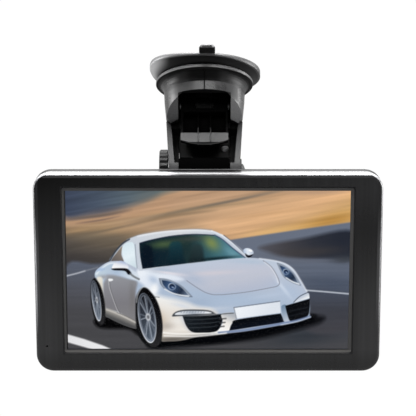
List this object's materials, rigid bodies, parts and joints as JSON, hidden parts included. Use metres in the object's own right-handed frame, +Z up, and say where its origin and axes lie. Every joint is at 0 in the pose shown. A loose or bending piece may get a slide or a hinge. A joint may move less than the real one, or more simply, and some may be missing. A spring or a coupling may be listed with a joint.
{
  "type": "portable gps navigator",
  "caption": "Slim widescreen in-car navigator with a deep black bezel, held on a short tilting arm with a cam-lever suction cup.",
  "frame": {"origin": "centre of the touch panel's front face", "axes": "+Z up, +X to the viewer's right when facing the screen, +Y away from the viewer, so the screen faces -Y"},
  "size_m": [0.1891, 0.0897, 0.1782],
  "materials": {
    "case_black": "satin gloss moulded shell",
    "cover_black": "fine textured moulding",
    "screen_clear": "clear touch layer with a grey printed border",
    "tape_black": "foam adhesive tape",
    "lcd_glass": "lit picture layer",
    "guide_acrylic": "clear acrylic light guide",
    "tray_steel": "pressed sheet",
    "flex_amber": "polyimide film",
    "board_green": "solder mask",
    "chip_black": "moulded package",
    "shield_tin": "tinned sheet",
    "connector_cream": "connector housing",
    "socket_steel": "formed socket shell",
    "jack_black": "moulded jack body",
    "card_black": "memory card",
    "button_black": "button cap",
    "switch_tan": "side switch body",
    "speaker_metal": "speaker basket",
    "cone_paper": "speaker cone",
    "magnet_grey": "plated magnet",
    "cloth_black": "dust cloth",
    "mic_steel": "microphone can",
    "boot_rubber": "microphone boot",
    "cell_silver": "pouch cell skin",
    "antenna_ceramic": "ceramic patch",
    "lead_red": "lead insulation",
    "screw_black": "black zinc screws",
    "screw_steel": "plain screws",
    "chrome_screw": "bright plated screw",
    "arm_black": "satin black moulding",
    "lever_black": "smooth black moulding",
    "bracket_black": "black moulding",
    "washer_nylon": "friction washer",
    "bolt_steel": "blackened bolt",
    "brass_insert": "threaded insert",
    "knob_black": "ribbed knob",
    "cup_rubber": "soft suction rubber",
    "pin_steel": "ground pin",
    "plunger_grey": "filled nylon plunger"
  },
  "bodies": {
    "mount_base": {"arm_left_half": "arm_black", "arm_right_half": "arm_black", "half_screws": "screw_black", "arm_cover": "bracket_black", "arm_cover_screw": "chrome_screw", "base_flange": "arm_black", "flange_screws": "screw_steel", "suction_cup": "cup_rubber", "tilt_bolt": "bolt_steel"},
    "lever_carrier": {"plunger": "plunger_grey", "lever_pin": "pin_steel", "pin_clips": "pin_steel"},
    "lever": {"lock_lever": "lever_black"},
    "knob": {"thumb_knob": "knob_black", "knob_insert": "brass_insert"},
    "bracket": {"display_bracket": "bracket_black", "friction_washers": "washer_nylon"},
    "button": {"power_button": "button_black"},
    "card": {"memory_card": "card_black"},
    "display": {"front_bezel": "case_black", "rear_cover": "cover_black", "cover_screws": "screw_black", "touch_panel": "screen_clear", "panel_tape": "tape_black", "lcd_panel": "lcd_glass", "light_guide": "guide_acrylic", "backlight_tray": "tray_steel", "screen_flex": "flex_amber", "main_board": "board_green", "board_screws": "screw_steel", "shield_can": "shield_tin", "processor": "chip_black", "board_chips": "chip_black", "board_connectors": "connector_cream", "usb_socket": "socket_steel", "audio_jack": "jack_black", "card_socket": "socket_steel", "button_board": "board_green", "power_switch": "switch_tan", "speaker_frame": "speaker_metal", "speaker_cone": "cone_paper", "speaker_magnet": "magnet_grey", "speaker_cloth": "cloth_black", "mic_boot": "boot_rubber", "microphone": "mic_steel", "battery_pack": "cell_silver", "antenna_base": "board_green", "antenna_patch": "antenna_ceramic", "wire_leads": "lead_red"}
  },
  "joints": [
    {"name": "bracket_tilt", "type": "hinge", "parent": "mount_base", "child": "bracket", "pos_m": [-0.002, 0.032, 0.048], "axis": [1, 0, 0], "range_deg": [-40, 50]},
    {"name": "display_lift", "type": "slide", "parent": "bracket", "child": "display", "axis": [0, 0, 1], "range_m": [0, 0.0052]},
    {"name": "knob_turn", "type": "hinge", "parent": "mount_base", "child": "knob", "pos_m": [-0.002, 0.032, 0.048], "axis": [-1, 0, 0], "range_deg": [0, 360]},
    {"name": "plunger_slide", "type": "slide", "parent": "mount_base", "child": "lever_carrier", "axis": [0, 0.5, 0.866], "range_m": [0, 0.00241]},
    {"name": "lever_turn", "type": "hinge", "parent": "lever_carrier", "child": "lever", "pos_m": [-0.002, 0.052, 0.08264], "axis": [-1, 0, 0], "range_deg": [0, 62]},
    {"name": "button_press", "type": "slide", "parent": "display", "child": "button", "axis": [-1, 0, 0], "range_m": [0, 0.0004]},
    {"name": "card_out", "type": "slide", "parent": "display", "child": "card", "axis": [-1, 0, 0], "range_m": [0, 0.016]}
  ],
  "couplings": [
    {"joint": "plunger_slide", "follows": "lever_turn", "m_per_rad": 0.0022179}
  ]
}
